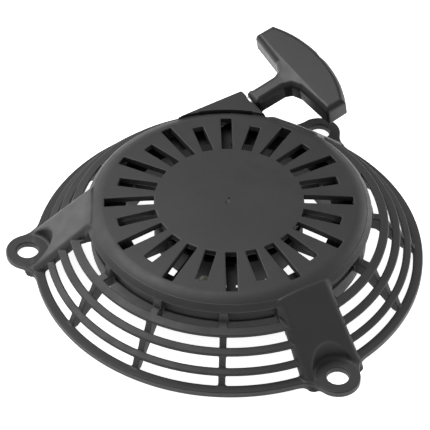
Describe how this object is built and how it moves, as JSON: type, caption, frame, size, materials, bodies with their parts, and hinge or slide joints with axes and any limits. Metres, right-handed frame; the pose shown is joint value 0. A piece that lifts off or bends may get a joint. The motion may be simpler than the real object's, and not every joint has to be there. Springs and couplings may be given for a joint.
{
  "type": "recoil starter",
  "caption": "Louvred plastic engine recoil starter with bolt lugs, a slotted round top, rope reel, recoil spring, swinging pawls and a T pull handle at its tangential outlet.",
  "frame": {"origin": "centre of the three mounting holes' circle, on the plane that the lugs bolt down to", "axes": "+Z along the reel axis, out of the slotted top; +X points between two of the lugs, opposite the lug at 180 degrees"},
  "size_m": [0.1863, 0.1994, 0.042],
  "materials": {
    "cover_plastic": "fine moulded matte",
    "grip_plastic": "fine moulded matte",
    "reel_plastic": "moulded matte, glass filled",
    "spring_steel": "blued spring steel, oiled",
    "zinc_steel": "zinc plated",
    "brass": "turned brass",
    "rope": "braided nylon"
  },
  "bodies": {
    "root": {"starter_case": "cover_plastic", "post_insert": "brass", "rope_eyelet": "zinc_steel", "screw_washer": "zinc_steel", "centre_screw": "zinc_steel"},
    "reel": {"reel": "reel_plastic", "recoil_spring": "spring_steel", "rope_coil": "rope", "reel_knot": "rope"},
    "pawl_1": {"pawl_1": "zinc_steel", "pawl_spring_1": "spring_steel"},
    "pawl_2": {"pawl_2": "zinc_steel", "pawl_spring_2": "spring_steel"},
    "guide": {"ratchet_guide": "reel_plastic", "friction_spring": "spring_steel"},
    "handle": {"handle_grip": "grip_plastic", "grip_reinforcement": "zinc_steel", "rope_lead": "rope", "handle_knot": "rope"}
  },
  "joints": [
    {"name": "handle_pull", "type": "slide", "parent": "root", "child": "handle", "axis": [0.834, 0.5111, 0.2079], "range_m": [0, 0.9], "stiffness_N_per_m": 20, "springref_m": -0.5},
    {"name": "reel_spin", "type": "hinge", "parent": "root", "child": "reel", "pos_m": [0, 0, 0.018], "axis": [0, 0, 1], "range_deg": [-980, 0]},
    {"name": "guide_turn", "type": "hinge", "parent": "reel", "child": "guide", "pos_m": [0, 0, 0.0055], "axis": [0, 0, 1], "range_deg": [0, 25], "stiffness_Nm_per_rad": 0.02, "springref_deg": -5.73},
    {"name": "pawl_1_swing", "type": "hinge", "parent": "reel", "child": "pawl_1", "pos_m": [0.021, 0, 0.0094], "axis": [0, 0, 1], "range_deg": [0, 35]},
    {"name": "pawl_2_swing", "type": "hinge", "parent": "reel", "child": "pawl_2", "pos_m": [-0.021, 0, 0.0094], "axis": [0, 0, 1], "range_deg": [0, 35]}
  ],
  "couplings": [
    {"joint": "reel_spin", "follows": "handle_pull", "rad_per_m": -18.904},
    {"joint": "pawl_1_swing", "follows": "guide_turn", "ratio": 1.4},
    {"joint": "pawl_2_swing", "follows": "guide_turn", "ratio": 1.4}
  ]
}
